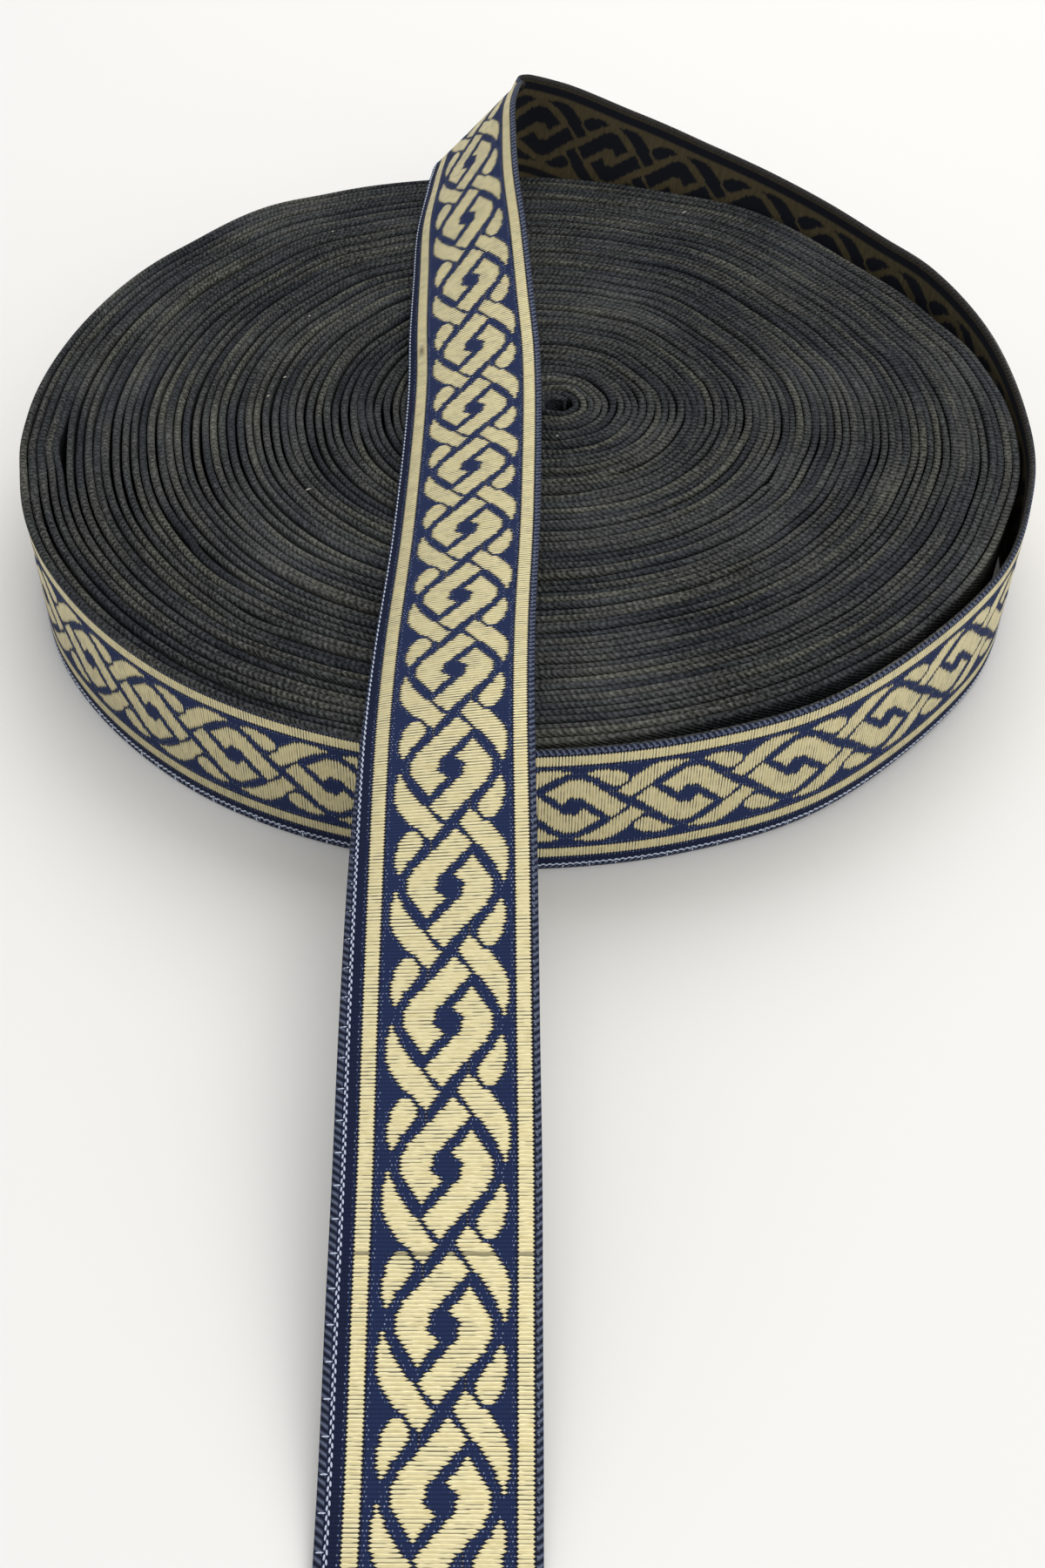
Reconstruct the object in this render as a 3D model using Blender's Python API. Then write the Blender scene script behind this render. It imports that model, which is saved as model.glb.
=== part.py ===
"""A flat roll of woven ribbon whose outer end is drawn loose.

The roll lies flat on a table. Its outermost turn leaves the roll at the front, runs loosely round the right side,
climbs behind the roll, turns over face up, crosses the top and comes down to the table in front.
Metres, +Z up. The origin is on the table under the middle of the roll, +X is to the right, +Y is to the back.
"""

import math

import bmesh
import bpy
import numpy as np
from mathutils import Vector

MM = 0.001

# The ribbon
RIBBON_WIDTH = 22.0 * MM
SHEET_THICKNESS = 1.0 * MM

# The roll: as high as the ribbon is wide, with a small core hole a little off the middle
ROLL_HEIGHT = RIBBON_WIDTH
CORE_CENTRE = Vector((6.0 * MM, 1.5 * MM))
CORE_RADIUS = 1.6 * MM
RIM_ROUNDING = 0.5 * MM
SIDES = 84
BANDS = 13  # groups of turns that stand a little higher or lower than their neighbours
GROOVE_DEPTH = 0.55 * MM
BAND_UNEVENNESS = 0.45 * MM

# Outline of the tightly wound roll: angle in degrees from +X, radius in mm.
# The step at -99 degrees is the place where the outermost turn leaves the roll.
ROLL_OUTLINE = (
    (-98.9, 74.1),
    (-87.0, 73.9),
    (-71.0, 73.8),
    (-55.0, 74.6),
    (-43.0, 75.3),
    (-15.0, 75.0),
    (3.0, 75.2),
    (24.0, 73.4),
    (38.0, 73.6),
    (59.0, 76.0),
    (71.0, 74.6),
    (92.0, 74.6),
    (117.0, 75.6),
    (126.0, 76.6),
    (142.0, 74.8),
    (169.0, 74.0),
    (188.0, 74.4),
    (211.0, 75.8),
    (235.0, 75.8),
    (261.0, 75.2),
)

# The loose turn while it still stands on its edge round the roll:
# angle in degrees, radius in mm, height in mm of the ribbon's middle.
STANDING_TURN = (
    (-94.5, 75.1, 11.0),
    (-87.0, 75.0, 11.0),
    (-72.0, 75.3, 11.1),
    (-56.0, 76.3, 11.3),
    (-30.0, 77.2, 11.4),
    (-15.0, 77.5, 11.5),
    (-3.0, 77.9, 12.0),
    (15.0, 78.6, 13.2),
    (29.0, 78.9, 14.2),
    (38.0, 78.6, 14.4),
    (48.0, 78.8, 15.6),
    (58.0, 79.1, 17.3),
    (68.0, 79.8, 19.4),
    (77.0, 80.6, 22.2),
)

# The drawn end, from the high loop behind the roll to the cut end on the table: x, y, z in mm of the ribbon's
# middle, then in degrees its lean (0 stands on edge, 90 lies face up), the curl of its lower selvage and the bow of
# its whole width.
DRAWN_END = (
    (6.0, 83.4, 24.9, 2.0, 0.0, 0.0),
    (-0.4, 85.0, 25.8, 7.0, 0.0, 0.0),
    (-4.7, 82.8, 26.5, 16.0, 0.0, 0.0),
    (-6.9, 78.8, 28.2, 29.0, 0.0, 0.0),
    (-8.1, 74.6, 31.1, 42.0, 0.0, 0.0),
    (-9.0, 68.0, 31.5, 44.0, 0.0, 0.0),
    (-9.5, 61.0, 31.0, 47.0, 8.0, 5.0),
    (-9.9, 48.5, 30.3, 54.0, 35.0, 10.0),
    (-9.1, 32.5, 29.2, 61.5, 45.0, 12.0),
    (-8.3, 16.3, 28.2, 68.0, 52.0, 12.0),
    (-7.4, 0.0, 27.5, 72.0, 56.0, 12.0),
    (-7.4, -35.0, 27.0, 75.0, 58.0, 10.0),
    (-8.1, -60.0, 26.7, 78.0, 58.0, 8.0),
    (-8.1, -76.0, 26.4, 80.0, 45.0, 5.0),
    (-7.7, -94.0, 23.2, 83.5, 25.0, 0.0),
    (-7.3, -113.0, 18.0, 87.0, 10.0, 0.0),
    (-6.9, -129.0, 13.2, 89.0, 0.0, 0.0),
    (-6.7, -143.0, 8.6, 90.0, 0.0, 0.0),
    (-6.5, -155.0, 4.2, 90.0, 0.0, 0.0),
    (-6.4, -165.0, 1.4, 90.0, 0.0, 0.0),
    (-6.3, -174.0, 0.5, 90.0, 0.0, 0.0),
)
CURL_SHARE = 0.14  # share of the width that curls, next to the lower selvage
STATIONS = 160
FINE_HALF = 40  # steps to each side of the middle when a section's bending is summed
SPLINE_STEPS = 12
ACROSS = (0.0, 0.06, 0.14, 0.32, 0.55, 0.78, 1.0)  # places across the ribbon, from the lower selvage to the upper one

# Finish: name, colour, roughness
SELVAGE_FINISH = ("wound_selvages", (0.045, 0.05, 0.06), 0.85)
FACE_FINISH = ("woven_face", (0.42, 0.38, 0.2), 0.6)


def clear_scene():
    for thing in list(bpy.data.objects):
        bpy.data.objects.remove(thing, do_unlink=True)


def new_collection(name):
    collection = bpy.data.collections.new(name)
    bpy.context.scene.collection.children.link(collection)
    return collection


def cloth_material(name, colour, roughness):
    material = bpy.data.materials.new(name)
    material.use_nodes = True
    shader = material.node_tree.nodes["Principled BSDF"]
    shader.inputs["Base Color"].default_value = (*colour, 1.0)
    shader.inputs["Roughness"].default_value = roughness
    shader.inputs["Metallic"].default_value = 0.0
    return material


def smooth_step(a, b, t):
    return a + (b - a) * t * t * (3.0 - 2.0 * t)


def outline_radius(degrees):
    """Radius of the wound roll at an angle, with the step where the last turn leaves it."""
    first = ROLL_OUTLINE[0][0]
    angle = first + (degrees - first) % 360.0
    for (a, low), (b, high) in zip(ROLL_OUTLINE, ROLL_OUTLINE[1:]):
        if a <= angle <= b:
            return smooth_step(low, high, (angle - a) / (b - a)) * MM
    return ROLL_OUTLINE[-1][1] * MM


def band_height(share, angle):
    """Height of the roll's top at a share of the way from the core to the rim."""
    phase = share * BANDS
    groove = 0.5 - 0.5 * math.cos(2.0 * math.pi * phase)
    band = math.floor(phase)
    wave = math.sin(2.4 * band + 1.3) * math.sin(angle + 1.7 * band) + 0.5 * math.sin(3.0 * angle + band)
    return ROLL_HEIGHT - GROOVE_DEPTH * (1.0 - groove) - BAND_UNEVENNESS * (0.5 + 0.33 * wave)


def roll_rings():
    """The roll's rings of points: up the core hole, out over the top, down the rim."""
    shares = [0.5 * i / BANDS for i in range(2 * BANDS)] + [(BANDS - 0.12) / BANDS]
    angles = [2.0 * math.pi * (i + 0.5) / SIDES for i in range(SIDES)]

    def spot(share, angle, inset=0.0):
        direction = Vector((math.cos(angle), math.sin(angle)))
        inner = CORE_CENTRE + direction * CORE_RADIUS
        outer = direction * (outline_radius(math.degrees(angle)) - inset)
        return inner.lerp(outer, share)

    rings = [[(*spot(0.0, a), 0.0) for a in angles]]
    for share in shares:
        rings.append([(*spot(share, a), band_height(share, a)) for a in angles])
    rings.append([(*spot(1.0, a), ROLL_HEIGHT - 2.0 * RIM_ROUNDING) for a in angles])
    rings.append([(*spot(1.0, a), RIM_ROUNDING) for a in angles])
    rings.append([(*spot(1.0, a, RIM_ROUNDING), 0.0) for a in angles])
    return rings


def mesh_object(name, rings, closed_round, collection, material):
    """An object from rings of points, each ring joined to the next."""
    bm = bmesh.new()
    rows = [[bm.verts.new(p) for p in ring] for ring in rings]
    loops = list(zip(rows, rows[1:] + rows[:1])) if closed_round else list(zip(rows, rows[1:]))
    for a, b in loops:
        for i in range(len(a)):
            j = (i + 1) % len(a)
            bm.faces.new((a[i], a[j], b[j], b[i]))
    if not closed_round:
        bm.faces.new(rows[0])
        bm.faces.new(rows[-1])
    bmesh.ops.recalc_face_normals(bm, faces=bm.faces)
    bmesh.ops.triangulate(bm, faces=bm.faces)
    mesh = bpy.data.meshes.new(name)
    bm.to_mesh(mesh)
    bm.free()
    mesh.shade_smooth()
    mesh.set_sharp_from_angle(angle=math.radians(40.0))
    mesh.materials.append(material)
    thing = bpy.data.objects.new(name, mesh)
    collection.objects.link(thing)
    return thing


def path_rows():
    """Every station of the loose ribbon in one table: x, y, z, lean, curl, bow."""
    rows = []
    for degrees, radius, height in STANDING_TURN:
        angle = math.radians(degrees)
        rows.append((radius * math.cos(angle), radius * math.sin(angle), height, 0.0, 0.0, 0.0))
    return np.array(rows + list(DRAWN_END))


def curve_through(rows, steps):
    """Centripetal Catmull-Rom curve through all columns of the rows."""
    points = np.vstack([2.0 * rows[0] - rows[1], rows, 2.0 * rows[-1] - rows[-2]])
    knots = np.concatenate([[0.0], np.cumsum(np.linalg.norm(np.diff(points[:, :3], axis=0), axis=1) ** 0.5)])

    def blend(a, b, low, high, at):
        return ((high - at) * a + (at - low) * b) / (high - low)

    found = []
    for i in range(1, len(points) - 2):
        p0, p1, p2, p3 = points[i - 1 : i + 3]
        k0, k1, k2, k3 = knots[i - 1 : i + 3]
        for step in range(steps):
            at = k1 + (k2 - k1) * step / steps
            a1, a2, a3 = blend(p0, p1, k0, k1, at), blend(p1, p2, k1, k2, at), blend(p2, p3, k2, k3, at)
            b1, b2 = blend(a1, a2, k0, k2, at), blend(a2, a3, k1, k3, at)
            found.append(blend(b1, b2, k1, k2, at))
    found.append(points[-2])
    return np.array(found)


def even_stations(curve, count):
    """The curve read again at even steps of its own length."""
    run = np.concatenate([[0.0], np.cumsum(np.linalg.norm(np.diff(curve[:, :3], axis=0), axis=1))])
    places = np.linspace(0.0, run[-1], count)
    columns = [np.interp(places, run, curve[:, k]) for k in range(curve.shape[1])]
    return np.column_stack(columns), places


def unit(vectors):
    return vectors / np.linalg.norm(vectors, axis=1)[:, None]


def cross_section(curl_degrees, bow_degrees):
    """Sideways place and rise, in mm, of each point across the ribbon, from the bending of its width."""
    fine = np.linspace(0.0, 1.0, 2 * FINE_HALF + 1)
    curled = np.clip((CURL_SHARE - fine) / CURL_SHARE, 0.0, 1.0)
    slope = math.radians(curl_degrees) * curled + math.radians(bow_degrees) * (0.5 - fine)
    step = RIBBON_WIDTH / MM / (2 * FINE_HALF)
    found = []
    for rate in (np.cos(slope), np.sin(slope)):
        total = np.concatenate([[0.0], np.cumsum(0.5 * (rate[1:] + rate[:-1]))]) * step
        found.append(np.interp(ACROSS, fine, total - total[FINE_HALF]))
    return found


def ribbon_sections():
    """Closed cross-sections of the loose ribbon, one at each station."""
    rows, places = even_stations(curve_through(path_rows(), SPLINE_STEPS), STATIONS)
    middle = rows[:, :3]
    along = unit(np.gradient(middle, places, axis=0))
    up = unit(np.array([0.0, 0.0, 1.0]) - along * along[:, 2:3])
    out = np.cross(along, up)
    lean = np.radians(rows[:, 3])[:, None]
    across = np.cos(lean) * up - np.sin(lean) * out
    face = np.cos(lean) * out + np.sin(lean) * up
    half = 0.5 * SHEET_THICKNESS / MM
    sections = []
    for i in range(len(middle)):
        sideways, rise = cross_section(rows[i, 4], rows[i, 5])
        sheet = middle[i] + sideways[:, None] * across[i] + rise[:, None] * face[i]
        slope = unit(np.gradient(sheet, axis=0))
        normal = np.cross(slope, along[i])
        normal *= np.sign(normal @ face[i])[:, None]
        ring = np.vstack([sheet + half * normal, (sheet - half * normal)[::-1]])
        ring[:, 2] = np.maximum(ring[:, 2], 0.0)
        sections.append([tuple(point * MM) for point in ring])
    return sections


def build():
    clear_scene()
    parts = new_collection("ribbon_roll_with_drawn_end")
    selvages = cloth_material(*SELVAGE_FINISH)
    face = cloth_material(*FACE_FINISH)
    mesh_object("ribbon_roll", roll_rings(), True, parts, selvages)
    mesh_object("ribbon_loose_end", ribbon_sections(), False, parts, face)


build()
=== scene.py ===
# %% [markdown]
# # A flat roll of woven ribbon
#
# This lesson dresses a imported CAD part. The part is a roll of patterned ribbon that lies on a table. Its
# outer end is drawn round the back, turned face up over the roll and brought down in front. The solids only
# give its size and main form. Here they are replaced by a real spiral of about sixty turns and by one
# continuous woven sheet.

import math

import bpy
import numpy as np
from mathutils import Matrix, Vector


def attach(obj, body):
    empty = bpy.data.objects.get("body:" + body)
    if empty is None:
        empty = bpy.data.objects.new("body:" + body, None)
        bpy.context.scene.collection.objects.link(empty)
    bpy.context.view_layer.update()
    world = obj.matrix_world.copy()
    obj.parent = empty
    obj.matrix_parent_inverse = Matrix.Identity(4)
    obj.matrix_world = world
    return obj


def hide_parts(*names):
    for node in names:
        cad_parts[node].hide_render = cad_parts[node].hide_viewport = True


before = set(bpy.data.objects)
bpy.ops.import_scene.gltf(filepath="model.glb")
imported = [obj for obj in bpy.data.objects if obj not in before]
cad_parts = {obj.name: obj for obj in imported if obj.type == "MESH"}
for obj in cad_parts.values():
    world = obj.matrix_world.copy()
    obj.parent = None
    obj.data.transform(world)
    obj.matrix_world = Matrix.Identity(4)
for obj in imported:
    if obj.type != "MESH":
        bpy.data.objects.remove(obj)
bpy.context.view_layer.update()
print("solids:", sorted(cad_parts))

# %% [markdown]
# ## Sizes
#
# All lengths in the tables are in millimetres. The origin is on the table under the middle of the roll. +X
# is to the right, +Y to the back and +Z up.

# %%
MM = 0.001
WIDTH = 22.0
THICK = 0.9
TURNS = 60
CORE = np.array([6.0, 1.5])
CORE_RADIUS = 1.5
PICKS = 37  # gold weft threads in one repeat of the figure
REPEAT = 16.2
PICK = REPEAT / PICKS

# Outline of the wound roll without its last step: angle in degrees, radius
ROLL_OUTLINE = (
    (-99.0, 75.3),
    (-92.0, 74.7),
    (-85.0, 74.2),
    (-71.0, 73.9),
    (-55.0, 74.4),
    (-43.0, 75.0),
    (-22.0, 75.8),
    (-8.0, 76.8),
    (3.0, 76.9),
    (13.0, 76.5),
    (24.0, 74.9),
    (38.0, 74.2),
    (59.0, 76.6),
    (71.0, 75.2),
    (92.0, 75.2),
    (117.0, 76.1),
    (126.0, 77.1),
    (142.0, 75.2),
    (169.0, 74.3),
    (188.0, 74.6),
    (211.0, 75.9),
    (235.0, 75.9),
    (261.0, 75.3),
)

# Gaps between the wound turns: angle in degrees, radius where the gap opens, half its angle, its width
GAPS = (
    (190.0, 68.3, 4.0, 0.9),
    (235.0, 60.2, 5.0, 0.9),
    (224.0, 56.8, 8.0, 0.6),
    (229.0, 46.0, 10.0, 0.5),
    (306.0, 58.0, 10.0, 0.4),
    (330.0, 41.0, 9.0, 0.5),
)

GAP_FADES = 5.0  # the turns outside a gap move less over this length

# The loose turn while it stands on its edge: angle in degrees, radius, height of the ribbon's middle
STANDING_TURN = (
    (-98.0, 75.2, 11.0),
    (-87.0, 75.0, 11.0),
    (-72.0, 75.3, 11.1),
    (-56.0, 76.3, 11.3),
    (-30.0, 77.2, 11.2),
    (-15.0, 77.5, 11.1),
    (-3.0, 77.9, 11.3),
    (15.0, 78.6, 12.8),
    (29.0, 78.9, 14.2),
    (38.0, 78.6, 14.4),
    (48.0, 78.8, 15.6),
    (58.0, 79.1, 17.3),
    (68.0, 79.8, 19.4),
    (77.0, 80.6, 22.2),
)

# The drawn end: x, y, z of the ribbon's middle, then in degrees its lean (90 lies face up), the curl of
# selvage B and the bow of the whole width
DRAWN_END = (
    (6.0, 83.4, 24.9, 2.0, 0.0, 0.0),
    (-0.4, 85.0, 25.8, 7.0, 0.0, 0.0),
    (-4.7, 82.8, 26.5, 16.0, 0.0, 0.0),
    (-6.9, 78.8, 28.2, 29.0, 0.0, 0.0),
    (-8.1, 74.6, 31.1, 42.0, 0.0, 0.0),
    (-9.0, 68.0, 31.5, 44.0, 0.0, 0.0),
    (-9.5, 61.0, 31.0, 47.0, 8.0, 5.0),
    (-9.9, 48.5, 30.3, 54.0, 35.0, 10.0),
    (-9.1, 32.5, 29.2, 61.5, 45.0, 12.0),
    (-8.3, 16.3, 28.2, 68.0, 52.0, 12.0),
    (-7.4, 0.0, 27.5, 72.0, 56.0, 12.0),
    (-7.4, -35.0, 27.0, 75.0, 58.0, 10.0),
    (-8.1, -60.0, 26.7, 78.0, 58.0, 8.0),
    (-8.1, -76.0, 26.4, 80.0, 45.0, 5.0),
    (-7.7, -94.0, 23.2, 83.5, 25.0, 0.0),
    (-7.3, -113.0, 18.0, 87.0, 10.0, 0.0),
    (-6.9, -129.0, 13.2, 89.0, 0.0, 0.0),
    (-6.7, -143.0, 8.6, 90.0, 0.0, 0.0),
    (-6.5, -155.0, 4.2, 90.0, 0.0, 0.0),
    (-6.4, -165.0, 1.4, 90.0, 0.0, 0.0),
    (-6.3, -174.0, 0.5, 90.0, 0.0, 0.0),
)
CURL_SHARE = 0.14

# Where the figure's loops lie: length along the ribbon from the start of the loose end, number of the repeat
MARKS = (
    (-54.1, -4),
    (-11.2, -1),
    (18.4, 1),
    (48.6, 3),
    (81.0, 5),
    (226.4, 14),
    (253.5, 16),
    (288.1, 18),
    (323.6, 20),
    (341.5, 21),
    (357.7, 22),
    (413.8, 26),
    (461.9, 29),
    (510.1, 32),
)

# %% [markdown]
# ## Building strips
#
# A strip of ribbon is a ring of points, its cross-section, repeated along a path. `make_strip` joins the
# rings, caps both ends and gives each face its material and its own UV map: u runs across the ribbon from 0
# to 1 and v is the place along it in repeats of the figure. The woven pattern later reads this map, so it
# follows every bend.

# %%
def make_strip(name, rings, u_of_point, v_of_ring, slot_of_side, materials):
    """One closed strip from rings of points; side j lies between points j and j + 1 of a ring."""
    rings = np.asarray(rings)
    count, size = rings.shape[:2]
    corner = np.arange(count * size).reshape(count, size)
    turned = np.roll(corner, -1, axis=1)
    quads = np.stack([corner[:-1], corner[1:], turned[1:], turned[:-1]], axis=-1).reshape(-1, 4)
    mesh = bpy.data.meshes.new(name)
    faces = [tuple(q) for q in quads.tolist()]
    faces += [tuple(corner[0].tolist()), tuple(corner[-1][::-1].tolist())]
    mesh.from_pydata((rings.reshape(-1, 3) * MM).tolist(), [], faces)
    for material in materials:
        mesh.materials.append(material)
    slots = np.broadcast_to(np.asarray(slot_of_side), (count - 1, size)).ravel()
    mesh.polygons.foreach_set("material_index", np.concatenate([slots, [2, 2]]).astype(np.int32))
    uv_map = mesh.uv_layers.new(name="weave")
    u = np.asarray(u_of_point)
    u_next = np.roll(u, -1)
    v = np.asarray(v_of_ring)
    quad_u = np.tile(np.stack([u, u, u_next, u_next], axis=-1), (count - 1, 1, 1))
    quad_v = np.stack([v[:-1], v[1:], v[1:], v[:-1]], axis=-1)[:, None, :].repeat(size, axis=1)
    flat = np.stack([quad_u, quad_v], axis=-1).reshape(-1, 2)
    caps = np.concatenate(
        [np.stack([u, np.full(size, v[0])], axis=-1), np.stack([u[::-1], np.full(size, v[-1])], axis=-1)]
    )
    uv_map.data.foreach_set("uv", np.concatenate([flat, caps]).astype(np.float32).ravel())
    mesh.shade_smooth()
    piece = bpy.data.objects.new(name, mesh)
    bpy.context.scene.collection.objects.link(piece)
    return piece


def unit(vectors):
    return vectors / np.linalg.norm(vectors, axis=-1, keepdims=True)


def curve_through(rows, steps):
    """Centripetal Catmull-Rom curve through all columns of the rows."""
    points = np.vstack([2.0 * rows[0] - rows[1], rows, 2.0 * rows[-1] - rows[-2]])
    knots = np.concatenate([[0.0], np.cumsum(np.linalg.norm(np.diff(points[:, :3], axis=0), axis=1) ** 0.5)])

    def blend(a, b, low, high, at):
        return ((high - at) * a + (at - low) * b) / (high - low)

    found = []
    for i in range(1, len(points) - 2):
        p0, p1, p2, p3 = points[i - 1 : i + 3]
        k0, k1, k2, k3 = knots[i - 1 : i + 3]
        for step in range(steps):
            at = k1 + (k2 - k1) * step / steps
            a1, a2, a3 = blend(p0, p1, k0, k1, at), blend(p1, p2, k1, k2, at), blend(p2, p3, k2, k3, at)
            b1, b2 = blend(a1, a2, k0, k2, at), blend(a2, a3, k1, k3, at)
            found.append(blend(b1, b2, k1, k2, at))
    found.append(points[-2])
    return np.array(found)


def repeats_at(length):
    """Repeats of the figure at a length along the ribbon, even beyond the marks at both ends."""
    marks = np.array(MARKS)
    inside = np.interp(length, marks[:, 0], marks[:, 1])
    before, after = np.minimum(length - marks[0, 0], 0.0), np.maximum(length - marks[-1, 0], 0.0)
    return inside + (before + after) / REPEAT


def even_stations(curve, spacing):
    """The curve read again at even steps of its own length."""
    run = np.concatenate([[0.0], np.cumsum(np.linalg.norm(np.diff(curve[:, :3], axis=0), axis=1))])
    places = np.arange(0.0, run[-1], spacing)
    return np.column_stack([np.interp(places, run, curve[:, k]) for k in range(curve.shape[1])]), places


# %% [markdown]
# ## A small language for shader maths
#
# Node trees get long. `Sum` wraps one output socket, so that the signs of arithmetic add Math nodes and the
# weave can be written as formulas.

# %%
class Sum:
    """A number inside a node tree that can be added, multiplied and compared."""

    def __init__(self, tree, socket):
        self.tree, self.socket = tree, socket

    def math(self, operation, *others, clamp=False):
        node = self.tree.nodes.new("ShaderNodeMath")
        node.operation, node.use_clamp = operation, clamp
        for i, value in enumerate((self, *others)):
            if isinstance(value, Sum):
                self.tree.links.new(value.socket, node.inputs[i])
            else:
                node.inputs[i].default_value = value
        return Sum(self.tree, node.outputs[0])

    def __add__(self, other):
        return self.math("ADD", other)

    def __sub__(self, other):
        return self.math("SUBTRACT", other)

    def __rsub__(self, other):
        return (self * -1.0) + other

    def __mul__(self, other):
        return self.math("MULTIPLY", other)

    def __truediv__(self, other):
        return self.math("DIVIDE", other)

    __radd__, __rmul__ = __add__, __mul__

    def low(self, other):
        return self.math("MINIMUM", other)

    def high(self, other):
        return self.math("MAXIMUM", other)

    def over(self, limit):
        return self.math("GREATER_THAN", limit)

    def under(self, limit):
        return self.math("LESS_THAN", limit)

    def floor(self):
        return self.math("FLOOR")

    def part(self):
        return self.math("FRACT")

    def size(self):
        return self.math("ABSOLUTE")

    def step(self, width):
        return self.math("SNAP", width)

    def between(self, low, high):
        return self.over(low) * self.under(high)

    def ramp(self, start, end):
        """0 at start, 1 at end and straight between."""
        return ((self - start) * (1.0 / (end - start))).math("ADD", 0.0, clamp=True)

    def mix(self, zero, one):
        """zero where this is 0, one where it is 1."""
        return (one - zero) * self + zero if isinstance(one, Sum) else self * (one - zero) + zero


def node(tree, kind, links=(), **settings):
    """A node with its settings and its inputs: numbers, colours or other nodes' sockets."""
    new = tree.nodes.new(kind)
    for key, value in settings.items():
        setattr(new, key, value)
    for name, value in dict(links).items():
        if isinstance(value, Sum):
            tree.links.new(value.socket, new.inputs[name])
        elif isinstance(value, bpy.types.NodeSocket):
            tree.links.new(value, new.inputs[name])
        else:
            new.inputs[name].default_value = value
    return new

# %% [markdown]
# ## The figure
#
# The figure is a plait with hooked loops. Turned half round about the middle of a loop, or about a
# crossing, it falls on itself. So half a repeat is enough: the table below gives the gold shapes between a
# loop's middle (down = 0) and the next crossing (down = 8.1), as left and right edges in millimetres at a
# few places. Float Curve nodes read them.

# %%
FIGURE = {
    # shape: (down, left, right)
    "hook_end": ((-0.3, -4.8, -1.9), (0.4, -4.7, -1.5), (1.0, -4.35, -0.8), (1.7, -3.95, -0.5),
                 (2.5, -3.35, -1.3), (3.3, -2.8, -2.0), (3.9, -2.5, -2.4)),
    "hook_bar": ((-0.3, 1.6, 4.8), (0.8, 1.75, 4.9), (1.8, 1.0, 4.6), (2.6, 0.25, 4.1), (4.2, -1.2, 2.5),
                 (5.4, -2.2, 1.3), (6.3, -1.55, 0.6), (7.4, -0.5, -0.3)),
    "long_leaf": ((0.4, -6.0, -5.9), (1.8, -6.25, -5.5), (2.6, -6.5, -5.0), (3.4, -6.5, -4.45),
                  (5.0, -6.3, -3.4), (5.8, -6.0, -2.7), (6.6, -5.3, -2.05), (8.4, -4.25, -0.7)),
    "next_leaf": ((6.1, 2.3, 2.5), (6.9, 1.8, 3.1), (8.4, 0.7, 4.6)),
    "short_leaf": ((1.6, 5.95, 6.05), (2.6, 5.5, 6.3), (3.4, 5.05, 6.45), (5.0, 3.8, 6.3), (5.9, 3.35, 6.1),
                   (6.5, 3.4, 5.8), (7.1, 3.9, 5.4), (7.6, 4.5, 4.8)),
}
HALF_WIDE = 8.0
DOWN_FROM, DOWN_TO = -0.5, 8.6
STRIPES = ((0.122, 0.193), (0.886, 0.958))  # gold edge stripes, as shares of the width from selvage B
MIDDLE = 0.5455
CATCH_LINE = 0.055  # share of the width where the catch thread runs
ENDS = 0.36  # spacing of the warp ends in mm
FAULT_PICK = 1130  # one dark weft thread crosses the figure here
STAIN = (0.155, 20.8)  # a brown spot on stripe B: share of the width, repeat


def edge_curve(tree, down, places):
    """An edge of a gold shape as a curve over the place down the repeat."""
    read = node(tree, "ShaderNodeFloatCurve", {"Value": down.ramp(DOWN_FROM, DOWN_TO)})
    curve = read.mapping.curves[0]
    reach, wide = DOWN_TO - DOWN_FROM, 2.0 * HALF_WIDE
    points = [((down_at - DOWN_FROM) / reach, (x + HALF_WIDE) / wide) for down_at, x in places]
    while len(curve.points) < len(points):
        curve.points.new(0.5, 0.5)
    for point, place in zip(curve.points, points):
        point.location = place
        point.handle_type = "VECTOR"
    read.mapping.update()
    return Sum(tree, read.outputs[0]) * (2.0 * HALF_WIDE) - HALF_WIDE


def closed(rows, side):
    """One edge of a shape, with its ends crossed over so that nothing shows beyond them."""
    sign = 0.4 if side == 1 else -0.4
    first, last = rows[0], rows[-1]
    return (
        [(DOWN_FROM, first[side] + sign), (first[0] - 0.02, first[side] + sign)]
        + [(row[0], row[side]) for row in rows]
        + [(last[0] + 0.02, last[side] + sign), (DOWN_TO, last[side] + sign)]
    )


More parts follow.
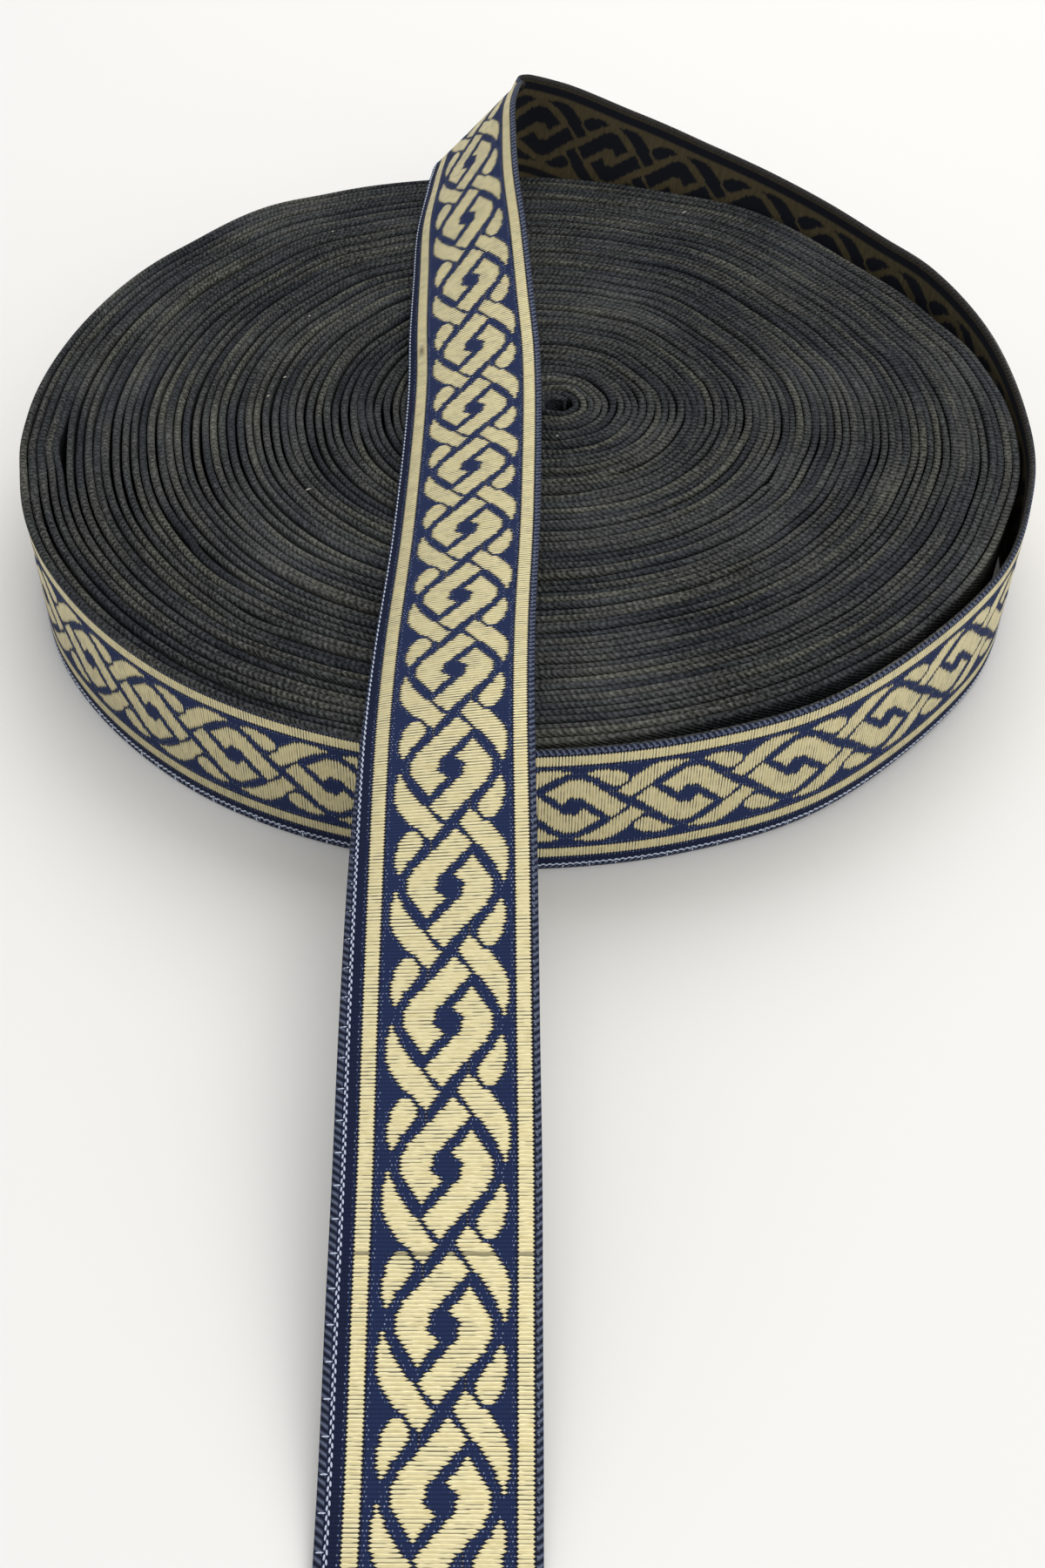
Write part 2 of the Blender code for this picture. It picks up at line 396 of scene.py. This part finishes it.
def weave_signals(tree):
    """What both sides of the cloth share: how much gold shows, and where the dots, ribs and cracks are."""
    uv = node(tree, "ShaderNodeUVMap", uv_map="weave")
    parts = node(tree, "ShaderNodeSeparateXYZ", {"Vector": uv.outputs[0]})
    u, v = Sum(tree, parts.outputs[0]), Sum(tree, parts.outputs[1])
    pick = v * PICKS
    row = pick.floor()
    within = pick - row
    rib = 1.0 - (within - 0.5).size() * 2.0
    place = ((row + 0.5) / PICKS + 0.5).part() - 0.5
    flip = place.math("SIGN")
    down = place.size() * REPEAT
    x = (u - MIDDLE) * WIDTH
    across = x * flip
    shapes = None
    for rows in FIGURE.values():
        left = edge_curve(tree, down, closed(rows, 1))
        right = edge_curve(tree, down, closed(rows, 2))
        inside = (across - left.step(0.3)).low(right.step(0.3) - across)
        shapes = inside if shapes is None else shapes.high(inside)
    stripe_b, stripe_a = [(u - start).low(end - u) for start, end in STRIPES]
    stripes = stripe_b.high(stripe_a) * WIDTH
    tooth = (rib - 0.5) * 0.5
    gold = (shapes + tooth).high(stripes + tooth * 0.5).ramp(-0.05, 0.05)
    nearest = shapes.high(stripes)
    turn = (row * 0.5).part().over(0.25)
    dot_x = ((x / ENDS + turn * 0.5).part() - 0.5) * ENDS
    dot_y = (within - 0.5) * PICK
    dot = ((dot_x * dot_x + dot_y * dot_y).math("SQRT")).ramp(0.1, 0.05)
    picked = node(tree, "ShaderNodeCombineXYZ", {"X": (x / ENDS + turn * 0.5).floor(), "Y": row, "Z": 0.0})
    chance = node(tree, "ShaderNodeTexWhiteNoise", {"Vector": picked.outputs[0]}, noise_dimensions="2D")
    dot = dot * Sum(tree, chance.outputs["Value"]).ramp(0.1, 1.0)
    dots = dot * nearest.between(-0.62, -0.2) * u.between(0.1, 0.985) * (1.0 - gold)
    spot = node(tree, "ShaderNodeCombineXYZ", {"X": x * 0.3, "Y": row * 1.37 + 0.31, "Z": 0.0})
    noise = node(tree, "ShaderNodeTexNoise", {"Vector": spot.outputs[0], "Scale": 1.0, "Detail": 1.0})
    per_pick = Sum(tree, noise.outputs["Fac"])
    edge_of_pick = (within.low(1.0 - within)).ramp(0.26, 0.08)
    crack = (edge_of_pick * per_pick.ramp(0.5, 0.58)).high((row - FAULT_PICK).size().under(0.5) * 0.7)
    fibre_at = node(tree, "ShaderNodeCombineXYZ", {"X": x * 1.2, "Y": v * (PICKS * 5.0), "Z": 0.0})
    fibre = node(tree, "ShaderNodeTexNoise", {"Vector": fibre_at.outputs[0], "Scale": 1.0, "Detail": 2.0})
    warp = ((x / 0.18).part() - 0.5).size() * 2.0
    return {
        "u": u, "v": v, "x": x, "rib": rib, "gold": gold, "dots": dots, "crack": crack, "warp": warp,
        "per_pick": per_pick, "fibre": Sum(tree, fibre.outputs["Fac"]), "nearest": nearest,
    }


def blend_colour(tree, share, zero, one):
    mix = node(tree, "ShaderNodeMix", data_type="RGBA")
    tree.links.new(share.socket, mix.inputs["Factor"])
    for name, value in (("A", zero), ("B", one)):
        socket = [s for s in mix.inputs if s.name == name and s.type == "RGBA"][0]
        if isinstance(value, bpy.types.NodeSocket):
            tree.links.new(value, socket)
        else:
            socket.default_value = (*value, 1.0)
    return [s for s in mix.outputs if s.type == "RGBA"][0]


def scaled_colour(tree, colour, factor):
    """The colour with its brightness multiplied."""
    scale = node(tree, "ShaderNodeVectorMath", {"Scale": factor}, operation="SCALE")
    tree.links.new(colour, scale.inputs[0])
    return scale.outputs[0]


def new_cloth(name, roughness, specular, sheen):
    material = bpy.data.materials.new(name)
    material.use_nodes = True
    tree = material.node_tree
    shader = tree.nodes["Principled BSDF"]
    shader.inputs["Roughness"].default_value = roughness
    shader.inputs["Specular IOR Level"].default_value = specular
    shader.inputs["Sheen Weight"].default_value = sheen
    shader.inputs["Sheen Roughness"].default_value = 0.4
    return material, tree, shader


def add_bump(tree, shader, height_mm, strength=1.0):
    bump = node(tree, "ShaderNodeBump", {"Height": height_mm * MM, "Strength": strength, "Distance": 1.0})
    tree.links.new(bump.outputs[0], shader.inputs["Normal"])


# %% [markdown]
# ## The two sides of the cloth
#
# On the face, gold weft floats over a navy ground. On the reverse the same weft floats where the face is
# navy.

# %%
NAVY = (0.011, 0.020, 0.066)
NAVY_SHADE = (0.004, 0.006, 0.02)
GOLD = (0.78, 0.71, 0.45)
GOLD_DEEP = (0.5, 0.42, 0.2)
DOT = (0.3, 0.35, 0.48)
ROPE = (0.13, 0.155, 0.23)
BROWN_SPOT = (0.06, 0.035, 0.015)
# The reverse colours carry painted shade: they are the face's yarns, set much darker because the reverse lies
# in shade.
REVERSE_GOLD = (0.075, 0.061, 0.032)
REVERSE_NAVY = (0.008, 0.009, 0.014)
REVERSE_ROPE = (0.035, 0.033, 0.03)


def rope_twist(x, v):
    """The slanting loops of a selvage: 1 on top of a loop, 0 between two."""
    loop = v * (PICKS / 2.0) + x.size() * 0.8
    return 1.0 - (loop.part() - 0.5).size() * 2.0


def face_material():
    material, tree, shader = new_cloth("woven_face", 0.5, 0.15, 0.0)
    s = weave_signals(tree)
    u, gold = s["u"], s["gold"]
    tone = (s["fibre"] * 0.9 + s["per_pick"] * 0.7 - 0.3).ramp(0.1, 0.8)
    shade = (1.0 - s["crack"] * 0.82) * (0.86 + s["rib"].ramp(0.0, 0.5) * 0.14)
    stain = (u - STAIN[0]).size().ramp(0.035, 0.0) * (s["v"] - STAIN[1]).size().ramp(0.1, 0.02)
    floats = scaled_colour(tree, blend_colour(tree, tone, GOLD_DEEP, GOLD), shade)
    floats = blend_colour(tree, stain * 0.8, floats, BROWN_SPOT)
    shadow = s["nearest"].ramp(-0.4, -0.1).high(u.ramp(0.115, 0.1) * 0.7).high(u.ramp(0.955, 0.965))
    ground = blend_colour(tree, shadow, NAVY, NAVY_SHADE)
    # The ground's brightness follows the picks and warp ends: painted shading of the threads' relief, with
    # random tone from the fibre noise.
    ground = scaled_colour(tree, ground, 0.25 + s["warp"] * 0.5 + s["fibre"] * 0.4 + s["rib"] * 0.5)
    # The selvage rope is painted lighter on the top of each loop and darker between loops: painted highlight
    # and painted shade.
    twist = rope_twist(s["x"], s["v"])
    rope = u.ramp(0.04, 0.034).high(u.ramp(0.966, 0.972))
    loops = scaled_colour(tree, blend_colour(tree, twist * twist, NAVY_SHADE, ROPE), 0.5 + s["fibre"])
    ground = blend_colour(tree, rope, ground, loops)
    cloth = blend_colour(tree, gold, ground, floats)
    cloth = blend_colour(tree, s["dots"], cloth, DOT)
    tree.links.new(cloth, shader.inputs["Base Color"])
    tree.links.new((gold * 0.4).socket, shader.inputs["Metallic"])
    tree.links.new(gold.mix(0.85, 0.42).socket, shader.inputs["Roughness"])
    height = gold * (0.06 + s["rib"].ramp(0.0, 0.7) * 0.08) + (1.0 - gold) * s["warp"] * 0.02
    add_bump(tree, shader, height + s["dots"] * 0.04 + rope * twist * 0.2)
    return material


def reverse_material():
    material, tree, shader = new_cloth("woven_reverse", 0.8, 0.12, 0.0)
    s = weave_signals(tree)
    floats = s["nearest"].ramp(-0.22, 0.22)
    rope = s["u"].ramp(0.04, 0.034).high(s["u"].ramp(0.966, 0.972))
    brown = blend_colour(tree, rope, REVERSE_GOLD, REVERSE_ROPE)
    brown = scaled_colour(tree, brown, 0.6 + s["per_pick"] * 0.8)
    cloth = blend_colour(tree, floats * (1.0 - rope), brown, REVERSE_NAVY)
    tree.links.new(cloth, shader.inputs["Base Color"])
    add_bump(tree, shader, (1.0 - floats) * s["rib"] * 0.06 + rope * rope_twist(s["x"], s["v"]) * 0.2)
    return material


# %% [markdown]
# ## The selvages
#
# Along each edge the weft turns round the outermost warp, which leaves a fine rope of loops. On the top of
# the roll sixty such edges lie side by side, dark. Their colour carries painted highlights on the tops of the
# loops and painted glints, small light flecks where the filaments catch the light.

# %%
SELVAGE_NAVY = (0.036, 0.040, 0.047)
SELVAGE_OLIVE = (0.050, 0.050, 0.043)
GLINT_SCALE, DUST = 1900.0, 45.0  # noise scales, per metre


def selvage_material():
    material, tree, shader = new_cloth("selvage", 0.9, 0.12, 0.0)
    uv = node(tree, "ShaderNodeUVMap", uv_map="weave")
    parts = node(tree, "ShaderNodeSeparateXYZ", {"Vector": uv.outputs[0]})
    u, v = Sum(tree, parts.outputs[0]), Sum(tree, parts.outputs[1])
    place = node(tree, "ShaderNodeTexCoord")
    at = place.outputs["Object"]
    glint_noise = node(tree, "ShaderNodeTexNoise", {"Vector": at, "Scale": GLINT_SCALE, "Detail": 2.0})
    cloud = node(tree, "ShaderNodeTexNoise", {"Vector": at, "Scale": DUST, "Detail": 4.0})
    dust = Sum(tree, cloud.outputs["Fac"])
    loop = v * (PICKS / 2.0) + u * 40.0 + dust * 6.0
    twist = 1.0 - (loop.part() - 0.5).size() * 2.0
    slow_at = node(tree, "ShaderNodeCombineXYZ", {"X": v * 0.4, "Y": 0.0, "Z": 0.0})
    slow = node(tree, "ShaderNodeTexNoise", {"Vector": slow_at.outputs[0], "Scale": 1.0, "Detail": 4.0})
    along = Sum(tree, slow.outputs["Fac"])
    hue = blend_colour(tree, along.ramp(0.4, 0.6), SELVAGE_NAVY, SELVAGE_OLIVE)
    # Painted glints: the fine noise puts small light flecks into the colour where the filaments catch the
    # light.
    glint = Sum(tree, glint_noise.outputs["Fac"]).ramp(0.45, 0.75)
    # Painted highlight: the top of each loop is made lighter in the colour, besides being raised by the bump.
    tone = 0.2 + twist.ramp(0.2, 0.9) * 0.65 + glint * 1.5 + dust.ramp(0.45, 0.8) * 0.8
    tone = tone * (0.3 + along.ramp(0.3, 0.7) * 1.3)
    tree.links.new(scaled_colour(tree, hue, tone), shader.inputs["Base Color"])
    add_bump(tree, shader, twist.ramp(0.0, 0.8) * 0.14 + glint * 0.1)
    return material


CLOTHS = [face_material(), reverse_material(), selvage_material()]
print("materials:", [cloth.name for cloth in CLOTHS])

# %% [markdown]
# ## The wound roll
#
# One turn after another follows a spiral from the small core hole to the outline. Neighbouring turns are a
# little uneven, so some stand higher than others and fine dark gaps open between them.

# %%
def outline_radius(degrees):
    first = ROLL_OUTLINE[0][0]
    angle = first + (degrees - first) % 360.0
    table = np.array(ROLL_OUTLINE)
    i = np.clip(np.searchsorted(table[:, 0], angle, side="right") - 1, 0, len(table) - 2)
    low, high = table[i], table[i + 1]
    t = (angle - low[:, 0]) / (high[:, 0] - low[:, 0])
    t = t * t * (3.0 - 2.0 * t)
    return low[:, 1] + (high[:, 1] - low[:, 1]) * t


def wave(x, seed):
    """Smooth noise from a few sines."""
    slow, middle, quick = np.sin(1.3 * x + seed), np.sin(2.9 * x + 2.1 * seed), np.sin(5.3 * x + 0.7 * seed)
    return (slow + 0.6 * middle + 0.4 * quick) / 1.4


def wound_turns(name, first, last, spacing):
    """The turns from number first to number last, counted from the core."""
    turns = []
    at = float(first)
    while at < last:
        turns.append(at)
        radius = CORE_RADIUS + (75.0 - CORE_RADIUS) * at / TURNS
        at += min(spacing / (2.0 * math.pi * radius), 1.0 / 40.0)
    turns = np.array(turns + [float(last)])
    angle = np.radians(-99.0 + 360.0 * (turns - TURNS + 1.0))
    way = np.stack([np.cos(angle), np.sin(angle)], axis=-1)
    share = (turns / TURNS)[:, None]
    outer = way * (outline_radius(np.degrees(angle)) - 0.5 * THICK)[:, None]
    centre = (CORE + way * CORE_RADIUS) * (1.0 - share) + outer * share
    loose = np.clip((TURNS - 0.6 - turns) / 2.0, 0.0, 1.0)
    centre += way * (0.13 * loose * wave(angle * 1.7 + 5.0 * np.floor(turns * 0.5), 0.4))[:, None]
    radius = np.linalg.norm(centre, axis=1)
    for at_angle, opens, half, room in GAPS:
        off = (np.degrees(angle) - at_angle + 180.0) % 360.0 - 180.0
        beyond = radius - opens
        fading = np.exp(-((off / half) ** 2)) * (beyond > 0.0) * np.exp(-beyond / GAP_FADES)
        centre += way * (room * fading)[:, None]
    top = WIDTH - 0.2 - 0.2 * (1.0 + wave(turns * 2.7, 1.9)) - 0.12 * wave(angle * 2.0 + turns, 0.3)
    inner, outside = -0.5 * THICK, 0.5 * THICK
    wide = 1.18 + 0.16 * wave(angle * 3.1 + 4.0 * turns, 2.2)
    profile = (
        (inner + 0.2, 0.0, 0.0),
        (outside - 0.2, 0.0, 0.0),
        (outside, 0.25, 0.0),
        (outside, -0.7, 1.0),
        (0.45, -0.28, 1.0),
        (0.2, 0.0, 1.0),
        (-0.2, 0.0, 1.0),
        (-0.45, -0.28, 1.0),
        (inner, -0.7, 1.0),
        (inner, 0.25, 0.0),
    )
    rings = np.empty((len(turns), len(profile), 3))
    for j, (offset, height, from_top) in enumerate(profile):
        swell = wide if from_top and abs(height) < 0.5 else np.ones(len(turns))
        rings[:, j, :2] = centre + way * (offset * swell)[:, None]
        rings[:, j, 2] = height + from_top * top
    length = np.concatenate([[0.0], np.cumsum(np.linalg.norm(np.diff(centre, axis=0), axis=1))])
    length -= length[-1]
    across = (0.0, 0.0, 0.012, 0.975, 0.99, 1.0, 1.0, 0.99, 0.975, 0.012)
    slots = np.full((len(turns) - 1, len(profile)), 2)
    slots[turns[:-1] > TURNS - BARE_SHARE, 1:3] = 0
    piece = make_strip(name, rings, across, repeats_at(length), slots, CLOTHS)
    last_turn = np.arange(-LAST_TURN_SHOWN, 0.0, PICK)
    columns = (*(centre + way * outside).T, *way.T)
    rows = np.column_stack([np.interp(last_turn, length, column) for column in columns])
    place = np.column_stack([rows[:, :2], np.full(len(rows), CATCH_LINE * WIDTH)])
    normal = np.column_stack([rows[:, 2:], np.zeros(len(rows))])
    along = np.column_stack([-rows[:, 3], rows[:, 2], np.zeros(len(rows))])
    return piece, (place, place * (1.0, 1.0, 0.15), normal, along)


BARE_SHARE = 0.64  # share of the last wound turn that shows its face
LAST_TURN_SHOWN = 300.0  # mm of it that show the catch thread
inner_piece, _ = wound_turns("turns_inner", 0.4, 40.0, 1.5)
outer_piece, wound_rail = wound_turns("turns_outer", 40.0, 60.0, 1.3)
roll_pieces = [inner_piece, outer_piece]
for piece in roll_pieces:
    print(piece.name, len(piece.data.polygons), "faces")

# %% [markdown]
# ## The loose end
#
# The ribbon's middle follows a smooth curve through the tables. At each station the section is turned by
# its lean, and selvage B curls down where the ribbon lies over the roll. The stations are one pick apart.

# %%
ACROSS = np.concatenate([np.linspace(0.0, 0.05, 3), np.linspace(0.09, 0.91, 18), np.linspace(0.95, 1.0, 3)])


def path_rows():
    rows = []
    for degrees, radius, height in STANDING_TURN:
        angle = math.radians(degrees)
        rows.append((radius * math.cos(angle), radius * math.sin(angle), height, 0.0, 0.0, 0.0))
    return np.array(rows + list(DRAWN_END))


def cross_sections(curl, bow):
    """Sideways place and rise of each point across the ribbon, from the bending of its width."""
    fine = np.linspace(0.0, 1.0, 89)
    curled = np.clip((CURL_SHARE - fine) / CURL_SHARE, 0.0, 1.0)
    slope = np.radians(curl)[:, None] * curled + np.radians(bow)[:, None] * (0.5 - fine)
    step = WIDTH / 88.0

    def summed(rate):
        run = np.cumsum(0.5 * (rate[:, 1:] + rate[:, :-1]), axis=1)
        total = np.concatenate([np.zeros((len(rate), 1)), run], axis=1)
        total = (total - total[:, 44:45]) * step
        return np.array([np.interp(ACROSS, fine, row) for row in total])

    return summed(np.cos(slope)), summed(np.sin(slope))


def loose_end(name):
    rows, places = even_stations(curve_through(path_rows(), 24), PICK)
    middle = rows[:, :3]
    along = unit(np.gradient(middle, places, axis=0))
    up = unit(np.array([0.0, 0.0, 1.0]) - along * along[:, 2:3])
    out = np.cross(along, up)
    lean = np.radians(rows[:, 3])[:, None]
    across = np.cos(lean) * up - np.sin(lean) * out
    face = np.cos(lean) * out + np.sin(lean) * up
    sideways, rise = cross_sections(rows[:, 4], rows[:, 5])
    sheet = middle[:, None, :] + sideways[..., None] * across[:, None, :] + rise[..., None] * face[:, None, :]
    slope = unit(np.gradient(sheet, axis=1))
    normal = np.cross(slope, along[:, None, :])
    normal *= np.sign(np.sum(normal * face[:, None, :], axis=-1, keepdims=True))
    half = np.full(len(ACROSS), 0.5 * THICK)
    half[[0, -1]] = 0.16
    half[[1, -2]] = 0.42
    upper = sheet + half[:, None] * normal
    lower = (sheet - half[:, None] * normal)[:, ::-1]
    rings = np.concatenate([upper, lower], axis=1)
    rings[:, :, 2] = np.maximum(rings[:, :, 2], 0.0)
    u = np.concatenate([ACROSS, ACROSS[::-1]])
    n = len(ACROSS)
    slots = [0] * (n - 1) + [2] + [1] * (n - 1) + [2]
    piece = make_strip(name, rings, u, repeats_at(places), slots, CLOTHS)
    print(name, "is", round(places[-1], 1), "mm long,", len(piece.data.polygons), "faces")
    line = upper[:, 3] * (1.0 - CATCH_SHARE) + upper[:, 2] * CATCH_SHARE
    thread = [line, upper[:, 0], normal[:, 3], along]
    return piece, places[-1], thread


CATCH_SHARE = 0.9  # place of the catch thread between the fourth point across and the third
loose, loose_length, thread_rail = loose_end("loose_ribbon")

# %% [markdown]
# ## The catch thread
#
# A ribbon loom locks one edge with a light catch thread. It shows beside selvage B as a chain of short
# stitches, and every few millimetres a stitch crosses to the edge. A stitch is one small shape that
# Geometry Nodes sets on points.

# %%
def stitch_points(rail):
    """Place, direction, face normal and length in mm of every stitch."""
    place, edge, normal, along = rail
    side = unit(edge - place)
    found = []
    for i in range(len(place)):
        column = 0.12 if i % 2 else -0.12
        slant = unit(along[i] + side[i] * (0.12 if i % 2 else -0.12))
        found.append((place[i] + side[i] * column + normal[i] * 0.03, slant, normal[i], 0.6))
        if i % 8 == 0:
            middle = 0.5 * (place[i] + edge[i])
            found.append((middle + normal[i] * 0.05, side[i], normal[i], 0.9))
    return found


def stitches(name, found, material):
    mesh = bpy.data.meshes.new(name)
    mesh.from_pydata([tuple(row[0] * MM) for row in found], [], [])
    for key, column in (("way", 1), ("face", 2)):
        data = mesh.attributes.new(key, "FLOAT_VECTOR", "POINT").data
        data.foreach_set("vector", np.array([row[column] for row in found]).astype(np.float32).ravel())
    sizes = mesh.attributes.new("long", "FLOAT", "POINT").data
    sizes.foreach_set("value", np.array([row[3] for row in found], dtype=np.float32))
    group = bpy.data.node_groups.new(name, "GeometryNodeTree")
    group.interface.new_socket("Geometry", in_out="INPUT", socket_type="NodeSocketGeometry")
    group.interface.new_socket("Geometry", in_out="OUTPUT", socket_type="NodeSocketGeometry")
    start, end = group.nodes.new("NodeGroupInput"), group.nodes.new("NodeGroupOutput")

    def named(key, kind):
        read = node(group, "GeometryNodeInputNamedAttribute", {"Name": key}, data_type=kind)
        return read.outputs["Attribute"]

    bead = node(group, "GeometryNodeMeshUVSphere", {"Segments": 6, "Rings": 4, "Radius": 0.5 * MM})
    turn = node(group, "FunctionNodeAxesToRotation", primary_axis="X", secondary_axis="Z")
    group.links.new(named("way", "FLOAT_VECTOR"), turn.inputs["Primary Axis"])
    group.links.new(named("face", "FLOAT_VECTOR"), turn.inputs["Secondary Axis"])
    scale = node(group, "ShaderNodeCombineXYZ", {"Y": 0.24, "Z": 0.18})
    group.links.new(named("long", "FLOAT"), scale.inputs["X"])
    links = {"Points": start.outputs[0], "Instance": bead.outputs["Mesh"]}
    put = node(group, "GeometryNodeInstanceOnPoints", links)
    group.links.new(turn.outputs[0], put.inputs["Rotation"])
    group.links.new(scale.outputs[0], put.inputs["Scale"])
    real = node(group, "GeometryNodeRealizeInstances", {"Geometry": put.outputs[0]})
    paint = node(group, "GeometryNodeSetMaterial", {"Geometry": real.outputs[0], "Material": material})
    group.links.new(paint.outputs[0], end.inputs[0])
    carrier = bpy.data.objects.new(name + "_points", mesh)
    bpy.context.scene.collection.objects.link(carrier)
    carrier.modifiers.new("stitches", "NODES").node_group = group
    view = bpy.context.evaluated_depsgraph_get()
    plain_mesh = bpy.data.meshes.new_from_object(carrier.evaluated_get(view), depsgraph=view)
    bpy.data.objects.remove(carrier)
    piece = bpy.data.objects.new(name, plain_mesh)
    bpy.context.scene.collection.objects.link(piece)
    print(name, "has", len(found), "stitches,", len(plain_mesh.polygons), "faces")
    return piece


catch_cloth, _, catch_shader = new_cloth("catch_thread", 0.7, 0.2, 0.0)
catch_shader.inputs["Base Color"].default_value = (0.46, 0.51, 0.62, 1.0)
catch = stitches("catch_thread", stitch_points(thread_rail) + stitch_points(wound_rail), catch_cloth)

# Specks of lint that cling to the selvages on top of the roll: x, y, length
LINT = (
    (29.0, 62.3, 1.1),
    (-34.3, 24.7, 0.5),
    (-32.9, 52.7, 0.5),
    (-36.4, 6.6, 0.6),
    (-38.4, 1.3, 0.6),
    (-30.0, -22.4, 0.9),
    (6.0, -7.8, 0.5),
)
LINT_HEIGHT, LINT_WAY, UP = 21.9, np.array([0.8, 0.6, 0.0]), np.array([0.0, 0.0, 1.0])
specks = [(np.array([x, y, LINT_HEIGHT]), LINT_WAY, UP, long) for x, y, long in LINT]
lint_fluff, _, lint_shader = new_cloth("lint", 0.9, 0.1, 0.0)
lint_shader.inputs["Base Color"].default_value = (0.4, 0.38, 0.33, 1.0)
lint = stitches("lint", specks, lint_fluff)

# %% [markdown]
# ## Table, light and camera
#
# The table is pale and plain. A soft window light stands behind the roll, above it, so the gold floats
# shine and the shadow falls to the front. A weak light from the front keeps the roll's side readable.

# %%
def area_light(name, place, aim, size, power, colour):
    data = bpy.data.lights.new(name, "AREA")
    data.shape, data.size, data.energy, data.color = "SQUARE", size, power, colour
    lamp = bpy.data.objects.new(name, data)
    lamp.location = place
    lamp.rotation_euler = (Vector(aim) - Vector(place)).to_track_quat("-Z", "Y").to_euler()
    bpy.context.scene.collection.objects.link(lamp)


floor_mesh = bpy.data.meshes.new("table")
floor_mesh.from_pydata([(-3, -3, 0), (3, -3, 0), (3, 3, 0), (-3, 3, 0)], [], [(0, 1, 2, 3)])
floor = bpy.data.objects.new("table", floor_mesh)
paper, _, paper_shader = new_cloth("table_paper", 0.7, 0.3, 0.0)
paper_shader.inputs["Base Color"].default_value = (0.75, 0.74, 0.72, 1.0)
floor_mesh.materials.append(paper)
bpy.context.scene.collection.objects.link(floor)

world = bpy.data.worlds.new("studio")
world.use_nodes = True
world.node_tree.nodes["Background"].inputs["Color"].default_value = (0.95, 0.97, 1.0, 1.0)
world.node_tree.nodes["Background"].inputs["Strength"].default_value = 0.66
bpy.context.scene.world = world
bpy.context.scene.view_settings.view_transform = "Standard"
area_light("window", (0.12, 0.5, 0.8), (0.0, -0.05, 0.0), 0.8, 5.8, (1.0, 0.98, 0.95))
area_light("fill", (0.3, -0.7, 0.5), (0.0, 0.0, 0.0), 0.8, 3.6, (1.0, 0.98, 0.95))

TILT, YAW, ROLL_ANGLE = math.radians(45.9), math.radians(0.57), math.radians(1.5)
ahead = Vector((math.sin(YAW) * math.cos(TILT), math.cos(YAW) * math.cos(TILT), -math.sin(TILT)))
level = Vector((math.cos(YAW), -math.sin(YAW), 0.0))
upright = level.cross(ahead)
right = math.cos(ROLL_ANGLE) * level + math.sin(ROLL_ANGLE) * upright
top_way = -math.sin(ROLL_ANGLE) * level + math.cos(ROLL_ANGLE) * upright
camera_data = bpy.data.cameras.new("camera")
camera_data.sensor_fit, camera_data.sensor_height, camera_data.lens = "VERTICAL", 36.0, 39.44
camera_data.clip_start = 0.01
camera = bpy.data.objects.new("camera", camera_data)
camera.matrix_world = Matrix.Translation((0.0, -0.2249, 0.1707)) @ Matrix(
    (
        (right.x, top_way.x, -ahead.x, 0.0),
        (right.y, top_way.y, -ahead.y, 0.0),
        (right.z, top_way.z, -ahead.z, 0.0),
        (0.0, 0.0, 0.0, 1.0),
    )
)
bpy.context.scene.collection.objects.link(camera)
bpy.context.scene.camera = camera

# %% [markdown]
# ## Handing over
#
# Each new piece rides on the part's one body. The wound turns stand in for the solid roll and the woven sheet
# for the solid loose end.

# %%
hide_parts("ribbon_roll")
for piece in roll_pieces:
    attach(piece, "root")
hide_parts("ribbon_loose_end")
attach(loose, "root")
loose_length * MM

for piece, slot in ((catch, "ribbon_face"), (lint, "wound_ribbon")):
    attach(piece, "root")
